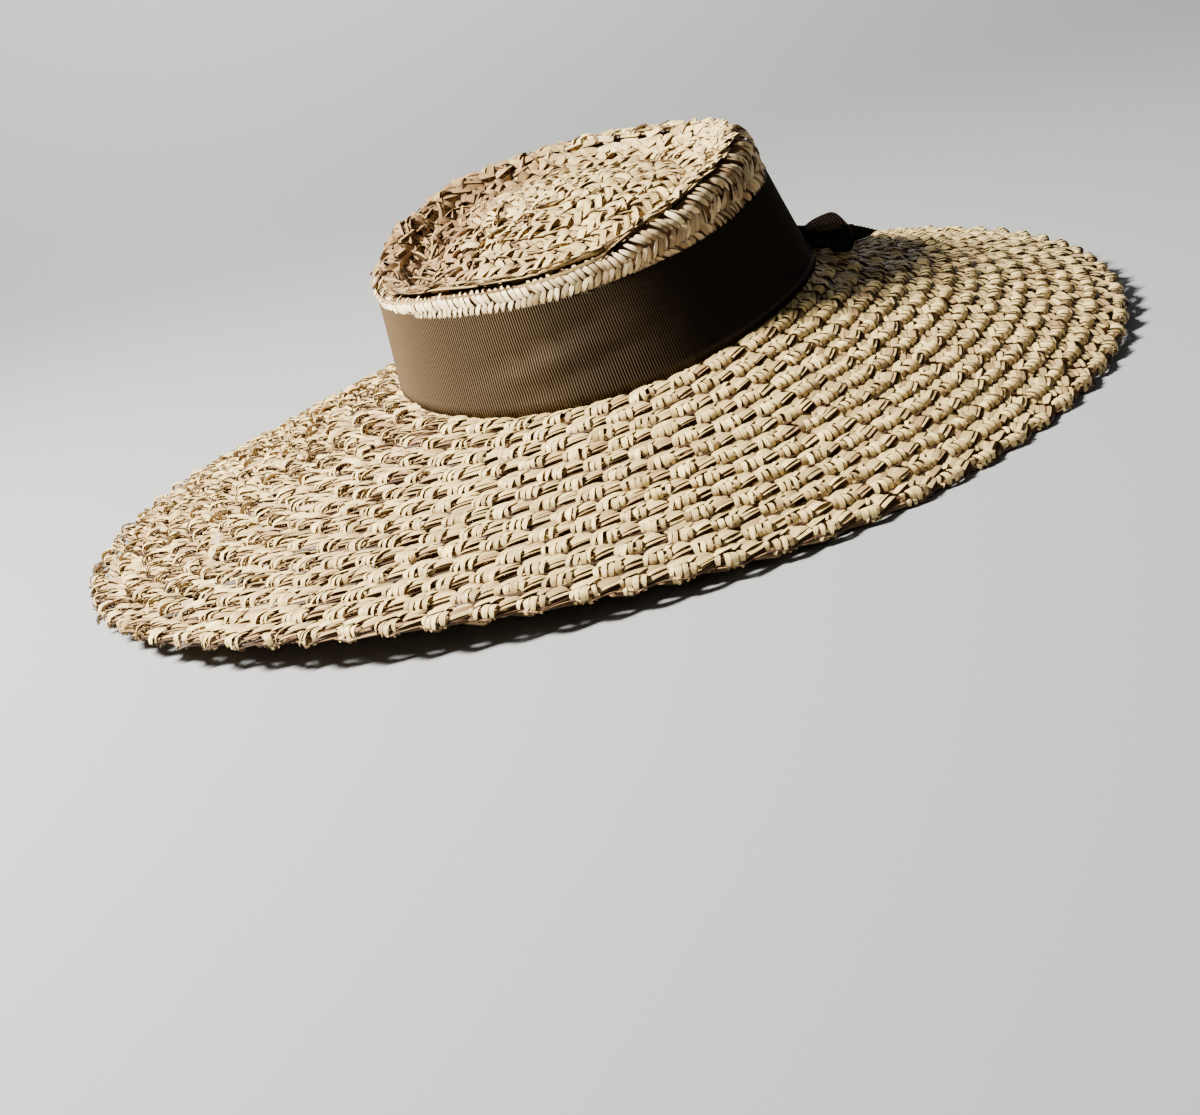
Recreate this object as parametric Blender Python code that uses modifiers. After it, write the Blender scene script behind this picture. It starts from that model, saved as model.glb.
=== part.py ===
"""Wide-brimmed plaited straw hat with a ribbon band and a flat bow, resting on its brim."""
import math

import bmesh
import bpy
from mathutils import Vector

mm = 0.001

# driving sizes in millimetres; the front of the hat faces -Y
brimAcross = 426.0
brimLong = 446.6
crownAcross = 169.8
crownLong = 193.9
crownSideways = 15.1
crownForwards = 5.5
crownBaseHeight = 42.9
edgeHeight = 6.7
ribbonTopAcross = 158.1
ribbonTopLong = 180.5
ribbonTopHeight = 80.5
ribbonTopSideways = -4.6
ribbonTopForwards = -5.1
strawWall = 2.4
rowStep = 1.3
brimRows = 13
tipRows = 7
teeth = 60
toothDepth = 2.6
tipCentreHeight = 98.0
ribbonThickness = 0.8
seatGap = 0.3

# slow waves of each ring: turns round the ring, cosine part, sine part
edgeWaves = (
    (2, 1.6, -3.75),
    (3, 1.04, -0.06),
    (4, 0.8, -0.63),
)
baseWaves = (
    (1, -0.8, 0.47),
    (2, -3.2, -0.18),
)
ribbonTopWaves = (
    (1, -2.73, 1.58),
    (2, -2.49, -0.7),
)

# the crown's rim: angle from the front towards +X in degrees, height
rimRows = (
    (-180, 104.2),
    (-140, 103.8),
    (-110, 97.5),
    (-87, 90.1),
    (-60, 84.9),
    (-30, 86.4),
    (0, 85.4),
    (20, 86.7),
    (37, 92.0),
    (60, 97.2),
    (85, 101.0),
    (120, 102.4),
    (150, 102.2),
)

# the dish of the tip: share of the way from its middle to its rim, depth below the straight line
dishRows = (
    (0.0, 0.0),
    (0.3, 0.6),
    (0.55, 4.2),
    (0.78, 8.2),
    (0.92, 5.0),
    (1.0, 0.0),
)

# bow loops and tail: name, root across and along, heading in degrees from +X, puff of the loop
bowStrips = (
    ("bow_loop_right", 98.2, 31.4, 8.0, 1.0),
    ("bow_loop_left", 94.5, 56.5, 88.0, 0.4),
    ("bow_tail_right", 101.6, 46.6, 24.0, 1.0),
)
knotAcross = 94.6
knotAlong = 44.6
knotHeading = 30.0
knotSlope = 19.0
knotSize = (7.0, 10.0, 7.6)

# middle line of a strip: length from its root, height over the straw, width
loopPath = (
    (0.0, 2.3, 13.0),
    (6.0, 2.1, 26.0),
    (12.0, 2.1, 34.0),
    (17.0, 2.7, 37.0),
    (19.2, 5.0, 38.0),
    (17.2, 8.2, 38.0),
    (12.0, 8.2, 35.0),
    (6.0, 6.6, 27.0),
    (0.0, 4.3, 14.0),
)
loopFloor = 2.1
tailPath = (
    (0.0, 0.9, 12.0),
    (6.0, 0.9, 20.0),
    (13.0, 0.9, 30.0),
    (20.0, 0.9, 36.0),
    (25.0, 1.0, 37.0),
)


def makeMaterial(name, colour, roughness):
    material = bpy.data.materials.new(name)
    material.use_nodes = True
    shader = material.node_tree.nodes["Principled BSDF"]
    shader.inputs["Base Color"].default_value = (*colour, 1.0)
    shader.inputs["Roughness"].default_value = roughness
    shader.inputs["Metallic"].default_value = 0.0
    return material


def wave(rows, angle):
    return sum(cosine * math.cos(turns * angle) + sine * math.sin(turns * angle)
               for turns, cosine, sine in rows)


def smoothTable(rows, value, period=None):
    """Read a height from a short table, eased between its rows."""
    if period:
        first = rows[0][0]
        value = first + (value - first) % period
        rows = rows + ((rows[0][0] + period, rows[0][1]),)
    for (x0, y0), (x1, y1) in zip(rows, rows[1:]):
        if value <= x1:
            share = (value - x0) / (x1 - x0)
            share = share * share * (3 - 2 * share)
            return y0 + (y1 - y0) * share
    return rows[-1][1]


def edgePoint(angle, inset=0.0):
    return Vector((
        (brimAcross / 2 - inset) * math.sin(angle),
        -(brimLong / 2 - inset) * math.cos(angle),
        edgeHeight + wave(edgeWaves, angle),
    ))


def wallPoint(angle, share, inset=0.0):
    """A point on the crown's wall: share 0 at the base line, 1 at the ribbon's top edge."""
    across = crownAcross + (ribbonTopAcross - crownAcross) * share
    along = crownLong + (ribbonTopLong - crownLong) * share
    low = crownBaseHeight + wave(baseWaves, angle)
    high = ribbonTopHeight + wave(ribbonTopWaves, angle)
    return Vector((
        crownSideways + ribbonTopSideways * share + (across / 2 - inset) * math.sin(angle),
        -crownForwards - ribbonTopForwards * share - (along / 2 - inset) * math.cos(angle),
        low + (high - low) * share,
    ))


def rimShare(angle, drop=0.0):
    low = wallPoint(angle, 0.0).z
    high = wallPoint(angle, 1.0).z
    rim = smoothTable(rimRows, math.degrees(angle), 360.0)
    return (rim - drop - low) / (high - low)


def rimPoint(angle, drop, inset):
    return wallPoint(angle, rimShare(angle, drop), inset)


def brimPoint(angle, share, lift, tooth=0.0):
    inner = wallPoint(angle, 0.0, -seatGap)
    outer = edgePoint(angle, toothDepth / 2)
    point = inner.lerp(outer, share)
    outwards = Vector((outer.x - inner.x, outer.y - inner.y, 0.0)).normalized()
    return point + outwards * tooth + Vector((0.0, 0.0, lift))


def angles(count):
    return [2 * math.pi * index / count for index in range(count)]


def loft(name, rings, material, collection, closed=True):
    """Join rings of equal length into one skin; an open loft ends in two middle points."""
    mesh = bpy.data.meshes.new(name)
    model = bmesh.new()
    rows = [[model.verts.new(point * mm) for point in ring] for ring in rings]
    count = len(rows[0])
    pairs = list(zip(rows, rows[1:]))
    if closed:
        pairs.append((rows[-1], rows[0]))
    for one, two in pairs:
        for index in range(count):
            after = (index + 1) % count
            model.faces.new((one[index], one[after], two[after], two[index]))
    if not closed:
        for row in (rows[0], rows[-1]):
            middle = sum((vert.co for vert in row), Vector()) / count
            centre = model.verts.new(middle)
            for index in range(count):
                model.faces.new((centre, row[index], row[(index + 1) % count]))
    bmesh.ops.recalc_face_normals(model, faces=model.faces[:])
    model.to_mesh(mesh)
    model.free()
    mesh.shade_smooth()
    mesh.set_sharp_from_angle(angle=math.radians(35))
    part = bpy.data.objects.new(name, mesh)
    part.data.materials.append(material)
    collection.objects.link(part)
    return part


def makeBrim(material, collection):
    """Sewn rows of plait, each row's toothed outer edge lying over the row outside it."""
    ring = angles(teeth * 2)
    rings = []
    for row in range(brimRows):
        for turn, lift in ((row, 0.0), (row + 1, rowStep)):
            depth = toothDepth / 2 if turn else 0.0
            rings.append([
                brimPoint(angle, turn / brimRows, lift, depth * (index % 2 * 2 - 1))
                for index, angle in enumerate(ring)
            ])
    for share, lift in ((1.0, -1.0), (0.97, -strawWall), (0.5, -strawWall), (0.0, -strawWall)):
        rings.append([
            brimPoint(angle, share, lift, toothDepth / 2 * (index % 2 * 2 - 1) if share > 0.9 else 0.0)
            for index, angle in enumerate(ring)
        ])
    return loft("brim", rings, material, collection)


def makeCrownSide(material, collection):
    """The crown's wall, hidden by the ribbon below and rounded over to the rim above it."""
    ring = angles(teeth)
    rings = []
    base = -strawWall / 30.0
    outer = ((base, 0.6), (0.5, 0.0), (1.0, 0.0))
    for share, inset in outer:
        rings.append([wallPoint(angle, share, inset) for angle in ring])
    for drop, inset in ((4.5, -1.2), (1.6, 0.2), (0.0, 3.0)):
        rings.append([
            rimPoint(angle, min(drop, (rimShare(angle) - 1.0) * 20.0), inset) for angle in ring
        ])
    for drop, inset in ((0.6, 5.2), (3.4, 5.9)):
        rings.append([rimPoint(angle, drop, inset) for angle in ring])
    rings.append([rimPoint(angle, 9.0, strawWall + 1.6) for angle in ring])
    for share in (0.5, base):
        rings.append([wallPoint(angle, share, strawWall) for angle in ring])
    return loft("crown_side", rings, material, collection)


def tipPoint(angle, share, lift):
    rim = rimPoint(angle, 0.9, 5.9 + seatGap)
    centre = Vector((crownSideways - 8.0, -crownForwards + 6.0, tipCentreHeight))
    point = centre.lerp(rim, share)
    point.z -= smoothTable(dishRows, share)
    return point + Vector((0.0, 0.0, lift))


def makeCrownTip(material, collection):
    """The dished tip: rows of plait wound from a low mound in its middle out to the rim."""
    ring = angles(teeth)
    rings = []
    for row in range(1, tipRows + 1):
        share = row / tipRows
        step = rowStep * 0.8
        if row < tipRows:
            rings.append([tipPoint(angle, share - 0.012, step) for angle in ring])
            rings.append([tipPoint(angle, share + 0.012, 0.0) for angle in ring])
        else:
            rings.append([tipPoint(angle, 1.0, 0.4) for angle in ring])
    for share in (1.0, 0.78, 0.5, 0.18):
        rings.append([tipPoint(angle, share, -strawWall) for angle in ring])
    return loft("crown_tip", rings, material, collection, closed=False)


def makeRibbonBand(material, collection):
    ring = angles(teeth)
    near = -seatGap
    far = -seatGap - ribbonThickness
    section = ((0.02, far), (0.5, far + 0.2), (1.0, far), (1.0, near), (0.5, near), (0.02, near))
    rings = []
    for share, inset in section:
        rings.append([wallPoint(angle, share, inset) for angle in ring])
    return loft("ribbon_band", rings, material, collection)


def strawTop(across, along):
    """Height of the brim's upper face over a point of the plan."""
    low, high = 0.0, 1.0
    for _ in range(24):
        share = (low + high) / 2
        middleX = crownSideways * (1 - share)
        middleY = -crownForwards * (1 - share)
        halfAcross = crownAcross / 2 + (brimAcross - crownAcross) / 2 * share
        halfLong = crownLong / 2 + (brimLong - crownLong) / 2 * share
        reach = math.hypot((across - middleX) / halfAcross, (along - middleY) / halfLong)
        if reach > 1.0:
            low = share
        else:
            high = share
    angle = math.atan2((across - middleX) / halfAcross, -(along - middleY) / halfLong)
    return brimPoint(angle, share, rowStep).z


def ribbonStrip(name, path, root, heading, puff, material, collection):
    """A length of ribbon along a path over the brim, with its own width at each row."""
    forwards = Vector((math.cos(heading), math.sin(heading), 0.0))
    sideways = Vector((-forwards.y, forwards.x, 0.0))
    columns = 5
    mesh = bpy.data.meshes.new(name)
    model = bmesh.new()
    grid = []
    for length, height, width in path:
        row = []
        for column in range(columns):
            across = column / (columns - 1) - 0.5
            point = root + forwards * length + sideways * width * across
            raised = height if height < loopFloor else loopFloor + (height - loopFloor) * puff
            point.z = strawTop(point.x, point.y) + raised
            row.append(model.verts.new(point * mm))
        grid.append(row)
    for one, two in zip(grid, grid[1:]):
        for column in range(columns - 1):
            model.faces.new((one[column], one[column + 1], two[column + 1], two[column]))
    model.to_mesh(mesh)
    model.free()
    mesh.shade_smooth()
    part = bpy.data.objects.new(name, mesh)
    part.data.materials.append(material)
    collection.objects.link(part)
    thickness = part.modifiers.new("thickness", "SOLIDIFY")
    thickness.thickness = ribbonThickness * mm
    thickness.offset = 0.0
    thickness.use_even_offset = True
    return part


def makeBow(material, collection):
    """A flat bow lying on the brim: two loops, a tail under them, and the knot at the band."""
    for name, across, along, heading, puff in bowStrips:
        path = tailPath if "tail" in name else loopPath
        root = Vector((across, along, 0.0))
        ribbonStrip(name, path, root, math.radians(heading), puff, material, collection)
    height = strawTop(knotAcross, knotAlong) + seatGap + knotSize[2] / 2 + 0.25
    bpy.ops.mesh.primitive_cube_add(size=1.0, location=(knotAcross * mm, knotAlong * mm, height * mm))
    knot = bpy.context.active_object
    knot.name = "bow_knot"
    knot.data.name = "bow_knot"
    for vert in knot.data.vertices:
        vert.co = Vector([vert.co[axis] * knotSize[axis] * mm for axis in range(3)])
    knot.rotation_euler = (0.0, math.radians(knotSlope), math.radians(knotHeading))
    rounding = knot.modifiers.new("rounding", "BEVEL")
    rounding.width = 2.2 * mm
    rounding.segments = 3
    knot.data.materials.append(material)
    for owner in list(knot.users_collection):
        owner.objects.unlink(knot)
    collection.objects.link(knot)


def makeHat():
    for item in list(bpy.data.objects):
        bpy.data.objects.remove(item, do_unlink=True)
    collection = bpy.data.collections.new("straw_hat")
    bpy.context.scene.collection.children.link(collection)
    straw = makeMaterial("brim_straw", (0.64, 0.52, 0.36), 0.62)
    sideStraw = makeMaterial("side_straw", (0.66, 0.55, 0.4), 0.62)
    tipStraw = makeMaterial("tip_straw", (0.66, 0.54, 0.38), 0.62)
    olive = makeMaterial("band_ribbon", (0.09, 0.072, 0.036), 0.55)
    bowOlive = makeMaterial("bow_ribbon", (0.085, 0.068, 0.034), 0.55)
    makeBrim(straw, collection)
    makeCrownSide(sideStraw, collection)
    makeCrownTip(tipStraw, collection)
    makeRibbonBand(olive, collection)
    makeBow(bowOlive, collection)


makeHat()
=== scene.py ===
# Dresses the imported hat: straw plait on brim and crown, ribbed ribbon, flat bow.
import math

import bpy
import numpy as np
from mathutils import Matrix, Vector


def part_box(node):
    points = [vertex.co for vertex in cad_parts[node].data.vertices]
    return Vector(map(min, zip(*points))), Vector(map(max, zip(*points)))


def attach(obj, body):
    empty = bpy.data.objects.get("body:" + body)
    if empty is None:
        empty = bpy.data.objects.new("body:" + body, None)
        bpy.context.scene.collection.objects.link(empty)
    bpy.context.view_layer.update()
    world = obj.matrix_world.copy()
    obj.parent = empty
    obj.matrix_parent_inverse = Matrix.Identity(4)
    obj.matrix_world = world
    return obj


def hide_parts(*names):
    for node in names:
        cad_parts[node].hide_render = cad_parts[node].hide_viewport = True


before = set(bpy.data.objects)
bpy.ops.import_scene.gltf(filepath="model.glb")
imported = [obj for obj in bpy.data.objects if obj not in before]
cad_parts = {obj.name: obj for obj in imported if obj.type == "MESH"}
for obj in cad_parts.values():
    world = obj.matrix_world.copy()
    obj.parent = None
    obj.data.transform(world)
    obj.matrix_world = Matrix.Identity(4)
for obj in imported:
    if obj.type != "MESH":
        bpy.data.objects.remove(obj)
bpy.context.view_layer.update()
mm = 0.001
chance = np.random.default_rng(11)

# the hat's form in millimetres, as the frame has it; angle 0 is the front, -Y
hat = {
    "brimAcross": 426.0,
    "brimLong": 446.6,
    "crownAcross": 169.8,
    "crownLong": 193.9,
    "crownSideways": 15.1,
    "crownForwards": 5.5,
    "crownBaseHeight": 42.9,
    "edgeHeight": 6.7,
    "ribbonTopAcross": 158.1,
    "ribbonTopLong": 180.5,
    "ribbonTopHeight": 80.5,
    "ribbonTopSideways": -4.6,
    "ribbonTopForwards": -5.1,
    "edgeInset": 1.3,  # the skin stops short of the teeth
    "seatGap": 0.3,  # between brim and crown
    "tipInset": 6.2,
    "tipDrop": 0.9,
    "tipCentre": (7.1, 0.5, 98.0),
    "shoulder": 6.0,  # how far the tip's skin runs out past its rim
    "shoulderShare": 1 / 13,  # where it turns down the wall
    "shoulderFall": 95.0,
    # slow waves: turns round the ring, cosine part, sine part
    "edgeWaves": ((2, 1.6, -3.75), (3, 1.04, -0.06), (4, 0.8, -0.63)),
    "baseWaves": ((1, -0.8, 0.47), (2, -3.2, -0.18)),
    "ribbonTopWaves": ((1, -2.73, 1.58), (2, -2.49, -0.7)),
    # angle in degrees, height of the rim
    "rim": ((-180, 104.2), (-140, 103.8), (-110, 97.5), (-87, 90.1), (-60, 84.9), (-30, 86.4),
            (0, 85.4), (20, 86.7), (37, 92.0), (60, 97.2), (85, 101.0), (120, 102.4), (150, 102.2)),
    # angle in degrees, how much higher the ribbon's upper edge runs
    "ribbonLift": ((-180, 0.0), (-120, 1.0), (-60, 2.4), (-20, 2.6), (15, 1.4), (50, 0.0), (120, 0.0)),
    # share of the way out, depth under the straight line from middle to rim
    "dish": ((0.0, 0.0), (0.3, 0.6), (0.55, 4.2), (0.78, 8.2), (0.92, 5.0), (1.0, 0.0)),
}


def wave(rows, angle):
    return sum(c * np.cos(turns * angle) + s * np.sin(turns * angle) for turns, c, s in rows)


def easedTable(rows, value, period=None):
    places = [float(row[0]) for row in rows]
    heights = [float(row[1]) for row in rows]
    if period:
        value = places[0] + (value - places[0]) % period
        places.append(places[0] + period)
        heights.append(heights[0])
    places, heights = np.array(places), np.array(heights)
    below = np.clip(np.searchsorted(places, value, side="right") - 1, 0, len(places) - 2)
    share = np.clip((value - places[below]) / (places[below + 1] - places[below]), 0, 1)
    share = share * share * (3 - 2 * share)
    return heights[below] + (heights[below + 1] - heights[below]) * share


def wallLevels(angle):
    low = hat["crownBaseHeight"] + wave(hat["baseWaves"], angle)
    high = hat["ribbonTopHeight"] + wave(hat["ribbonTopWaves"], angle)
    high = high + easedTable(hat["ribbonLift"], np.degrees(angle), 360.0)
    return low, high


def wallPoint(angle, share, inset=0.0):
    across = hat["crownAcross"] + (hat["ribbonTopAcross"] - hat["crownAcross"]) * share
    along = hat["crownLong"] + (hat["ribbonTopLong"] - hat["crownLong"]) * share
    low, high = wallLevels(angle)
    x = hat["crownSideways"] + hat["ribbonTopSideways"] * share + (across / 2 - inset) * np.sin(angle)
    y = -hat["crownForwards"] - hat["ribbonTopForwards"] * share - (along / 2 - inset) * np.cos(angle)
    return np.stack(np.broadcast_arrays(x, y, low + (high - low) * share), -1)


def rimPoint(angle, drop, inset):
    low, high = wallLevels(angle)
    rim = easedTable(hat["rim"], np.degrees(angle), 360.0)
    return wallPoint(angle, (rim - drop - low) / (high - low), inset)


def brimSkin(angle, share):
    inner = wallPoint(angle, 0.0, -hat["seatGap"])
    x = (hat["brimAcross"] / 2 - hat["edgeInset"]) * np.sin(angle)
    y = -(hat["brimLong"] / 2 - hat["edgeInset"]) * np.cos(angle)
    z = hat["edgeHeight"] + wave(hat["edgeWaves"], angle)
    outer = np.stack(np.broadcast_arrays(x, y, z), -1)
    return inner + (outer - inner) * np.asarray(share)[..., None]


def tipSkin(angle, share):
    share = np.asarray(share, float)
    rim = rimPoint(angle, hat["tipDrop"], hat["tipInset"])
    centre = np.array(hat["tipCentre"])
    inside = np.minimum(share, 1.0)
    point = centre + (rim - centre) * inside[..., None]
    point[..., 2] -= easedTable(hat["dish"], inside)
    # past the rim the skin runs outwards, then down the wall
    past = np.maximum(share - 1.0, 0.0)
    over = rimPoint(angle, 0.0, hat["tipInset"] - hat["shoulder"]) - rim
    point = point + over * np.minimum(past / hat["shoulderShare"], 1.0)[..., None]
    point[..., 2] -= np.maximum(past - hat["shoulderShare"], 0) * hat["shoulderFall"]
    return point


# how far the wall is set in, by its drop under the rim
rimRound = ((0.0, 2.2), (1.2, -0.2), (4.0, -1.3), (9.0, -0.6), (14.0, 0.0), (40.0, 0.0))


def sideSkin(angle, drop):
    drop = np.asarray(drop, float)
    inset = np.interp(drop, [row[0] for row in rimRound], [row[1] for row in rimRound])
    return rimPoint(angle, drop, inset)


def skinFrame(skin, angle, out, outStep=0.002, angleStep=0.002):
    # a point on the skin and the skin's normal there
    here = skin(angle, out)
    along = skin(angle + angleStep, out) - here
    outwards = skin(angle, out + outStep) - here
    normal = np.cross(outwards, along)
    length = np.linalg.norm(normal, axis=-1, keepdims=True)
    return here, normal / np.maximum(length, 1e-9)


# meshes
def makePiece(name, points, quads, material):
    mesh = bpy.data.meshes.new(name)
    mesh.vertices.add(len(points))
    mesh.vertices.foreach_set("co", (np.asarray(points, float) * mm).ravel())
    mesh.loops.add(quads.size)
    mesh.loops.foreach_set("vertex_index", quads.ravel().astype(np.int32))
    mesh.polygons.add(len(quads))
    mesh.polygons.foreach_set("loop_start", np.arange(0, quads.size, 4, dtype=np.int32))
    mesh.polygons.foreach_set("use_smooth", np.full(len(quads), True))
    mesh.update(calc_edges=True)
    mesh.validate()
    piece = bpy.data.objects.new(name, mesh)
    piece.data.materials.append(material)
    bpy.context.scene.collection.objects.link(piece)
    return piece


def addVectors(piece, name, values):
    layer = piece.data.attributes.new(name, "FLOAT_VECTOR", "POINT")
    layer.data.foreach_set("vector", np.asarray(values, np.float32).ravel())


def settle(piece, slot, *nodes):
    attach(piece, "root")
    if nodes:
        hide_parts(*nodes)


# a straw's cross section: sideways and up, the first and last points are its edges
strawSection = np.array(((-1.0, 0.0), (-0.86, 0.82), (0.0, 1.0), (0.86, 0.82), (1.0, 0.0)))


def layStraws(name, straws, material, slot):
    corners = len(strawSection)
    points, quads, grains, looks = [], [], [], []
    begun = 0
    for group in straws:
        paths, widths, thick, tones = group["path"], group["width"], group["thick"], group["tone"]
        count, steps = paths.shape[:2]
        if not count:
            continue
        ahead = np.empty_like(paths)
        ahead[:, 1:-1] = paths[:, 2:] - paths[:, :-2]
        ahead[:, 0] = paths[:, 1] - paths[:, 0]
        ahead[:, -1] = paths[:, -1] - paths[:, -2]
        ahead /= np.maximum(np.linalg.norm(ahead, axis=-1, keepdims=True), 1e-9)
        side = np.cross(ahead, group["up"])
        side /= np.maximum(np.linalg.norm(side, axis=-1, keepdims=True), 1e-9)
        up = np.cross(side, ahead)
        turn = group["roll"][:, None, None]
        side, up = side * np.cos(turn) + up * np.sin(turn), up * np.cos(turn) - side * np.sin(turn)
        rings = (paths[:, :, None]
                 + side[:, :, None] * (widths[..., None] * strawSection[:, 0])[..., None]
                 + up[:, :, None] * (thick[..., None] * strawSection[:, 1])[..., None])
        ids = begun + np.arange(count * steps * corners).reshape(count, steps, corners)
        after = np.roll(ids, -1, axis=2)
        quads.append(np.stack([ids[:, :-1], ids[:, 1:], after[:, 1:], after[:, :-1]], -1).reshape(-1, 4))
        for end in (ids[:, 0], ids[:, -1, ::-1]):
            quads.append(np.stack([end[:, 0], end[:, 1], end[:, 3], end[:, 4]], -1))
        lengths = np.linalg.norm(np.diff(paths, axis=1), axis=-1)
        grain = np.empty((count, steps, corners, 3))
        grain[..., 0] = strawSection[:, 0]
        grain[..., 1] = np.concatenate([np.zeros((count, 1)), np.cumsum(lengths, 1)], 1)[:, :, None]
        grain[..., 2] = chance.uniform(0, 40, count)[:, None, None]
        # tone, nearness to an end (painted shade where a straw dips under its neighbours), stain
        look = np.empty((count, steps, corners, 3))
        look[..., 0] = tones[:, None, None]
        ends = np.ones(steps)
        ends[0], ends[-1] = 0.1, 0.1
        # a straw with a negative tone is painted shade all over
        look[..., 1] = ends[:, None] * (tones >= 0)[:, None, None]
        look[..., 2] = group["stain"][:, None, None]
        points.append(rings.reshape(-1, 3))
        grains.append(grain.reshape(-1, 3))
        looks.append(look.reshape(-1, 3))
        begun += count * steps * corners
    piece = makePiece(name, np.concatenate(points), np.concatenate(quads), material)
    ends = np.empty(len(piece.data.edges) * 2, np.int32)
    piece.data.edges.foreach_get("vertices", ends)
    first, second = (ends.reshape(-1, 2) % corners).T
    crease = piece.data.attributes.new("sharp_edge", "BOOLEAN", "EDGE")
    crease.data.foreach_set("value", (first == second) & (first % 2 == 1))
    addVectors(piece, "grain", np.concatenate(grains))
    addVectors(piece, "look", np.concatenate(looks))
    settle(piece, slot)


# along a straw: where its rings stand, and how wide it is there
pathTimes = np.array((0.0, 0.16, 0.4, 0.66, 0.88, 1.0))
pathWidths = np.array((0.6, 0.92, 1.0, 1.0, 0.92, 0.62))
pathThickness = np.array((0.6, 0.9, 1.0, 1.0, 0.95, 0.6))


def plaitRow(skin, row, cells, phase, plait):
    rows = plait["rows"]
    table = np.array(plait["straws"], float)
    kinds = len(table)
    cell = np.repeat(np.arange(cells), kinds)
    straw = np.tile(table, (cells, 1))
    total = len(straw)
    messy = np.ones(total)
    for turn, spread, amount in plait["messy"]:
        away = (np.degrees(phase + cell * 2 * math.pi / cells) - turn + 180) % 360 - 180
        messy = messy + amount * np.exp(-(away / spread) ** 2)

    def wobble(size):
        return chance.normal(0, 1, total) * size * messy

    # straws and whole cells stray, and messy straws are narrower, thicker and stand up
    narrower, thicker, stands = plait["messyStraws"]
    cellShift = np.repeat(chance.normal(0, 1, (cells, 3)), kinds, axis=0)
    startS = straw[:, 0] + wobble(plait["jitter"]) + cellShift[:, 0] * plait["cellJitter"]
    startW = straw[:, 1] + wobble(plait["jitter"])
    endS = straw[:, 2] + wobble(plait["jitter"]) + cellShift[:, 0] * plait["cellJitter"]
    endW = straw[:, 3] + wobble(plait["jitter"]) + cellShift[:, 1] * plait["cellJitter"] * 0.6
    width = straw[:, 4] * plait["wide"] * np.clip(1 + wobble(plait["widthJitter"]), 0.55, 1.5)
    width = width * (1 - narrower * (messy - 1))
    arch = straw[:, 5] * (1 + cellShift[:, 2] * plait["heightJitter"]) + wobble(plait["jitter"] * 0.5)
    startH = straw[:, 6] + (messy - 1) * chance.uniform(0, stands, total)
    endH = straw[:, 7] + wobble(plait["heightJitter"])
    roll = np.radians(straw[:, 8]) + wobble(plait["rollJitter"])
    bow = straw[:, 9] + wobble(plait["bowJitter"])
    time = pathTimes[None]
    hump = np.sin(np.pi * time)
    s = startS[:, None] + (endS - startS)[:, None] * time - bow[:, None] * hump
    w = startW[:, None] + (endW - startW)[:, None] * time + bow[:, None] * hump * 0.5
    h = startH[:, None] + (endH - startH)[:, None] * time ** 7 + arch[:, None] * hump ** 0.7
    reach = plait["reach"]
    angle = phase + (cell[:, None] + s / plait["pitch"]) * 2 * math.pi / cells
    w = w + wave(plait["wander"], angle + row * 1.7)
    # away from the front the last row climbs over the rim
    further, start, over = plait["overRim"]
    away = np.clip((np.abs((angle + math.pi) % (2 * math.pi) - math.pi) - start) / over, 0, 1)
    w = w * (1 + (further * away if row == rows - 1 else 0))
    share = (row + w / reach) / rows
    here, normal = skinFrame(skin, angle, np.maximum(share, 0.004))
    lift = plait["step"] * np.clip(w / reach, 0, 1.15) + h + plait["ground"]
    path = here + normal * lift[..., None] * plait["face"]
    path[..., 2] = np.maximum(path[..., 2], plait["lowest"])
    tone = chance.normal(plait["tone"], plait["toneJitter"], total) + straw[:, 10]
    stain = chance.uniform(0, 1, total)
    # painted shade and rust over the places in the table
    for turn, spread, out, outSpread, darker, rustier in plait["shadeAndRust"]:
        away = (np.degrees(angle[:, 2]) - turn + 180) % 360 - 180
        near = np.exp(-(away / spread) ** 2 - ((share[:, 2] - out) / outSpread) ** 2)
        tone = tone - darker * near
        stain = stain + rustier * near
    made = {
        "path": path,
        "up": normal * plait["face"],
        "width": width[:, None] * pathWidths,
        "thick": plait["thick"] * pathThickness * (1 + thicker * (messy - 1))[:, None],
        "tone": np.where(straw[:, 10] < -2, -1.0, np.clip(tone, 0, 1)),
        "stain": np.clip(stain, 0, 1),
        "roll": roll,
    }
    # straws that lie flat need fewer points
    flat = straw[:, 5] <= 0.2
    few = (0, 1, 4, 5)
    full = {key: value[~flat] for key, value in made.items()}
    short = {key: value[flat][:, few] if value.ndim > 1 else value[flat] for key, value in made.items()}
    return [full, short]


# materials
def nodeTree(material):
    material.use_nodes = True
    return material.node_tree, material.node_tree.nodes["Principled BSDF"]


def addNode(tree, kind, **settings):
    node = tree.nodes.new(kind)
    for key, value in settings.items():
        if key in node.inputs.keys():
            node.inputs[key].default_value = value
        else:
            setattr(node, key, value)
    return node


def plug(tree, socket, value):
    if isinstance(value, (int, float)):
        socket.default_value = value
    elif isinstance(value, tuple):
        socket.default_value = (*value, 1.0)
    elif value is not None:
        tree.links.new(value, socket)


def mathNode(tree, operation, one, two=None, clamp=False):
    node = addNode(tree, "ShaderNodeMath", operation=operation, use_clamp=clamp)
    for socket, value in zip(node.inputs, (one, two)):
        plug(tree, socket, value)
    return node.outputs[0]


def mixColours(tree, amount, one, two):
    node = addNode(tree, "ShaderNodeMix", data_type="RGBA")
    for place, value in ((0, amount), (6, one), (7, two)):
        plug(tree, node.inputs[place], value)
    return node.outputs[2]


def rangeNode(tree, value, low, high, bottom=0.0, top=1.0, kind="SMOOTHSTEP"):
    node = addNode(tree, "ShaderNodeMapRange", interpolation_type=kind)
    given = {"Value": value, "From Min": low, "From Max": high, "To Min": bottom, "To Max": top}
    for label, amount in given.items():
        plug(tree, node.inputs[label], amount)
    return node.outputs[0]


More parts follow.
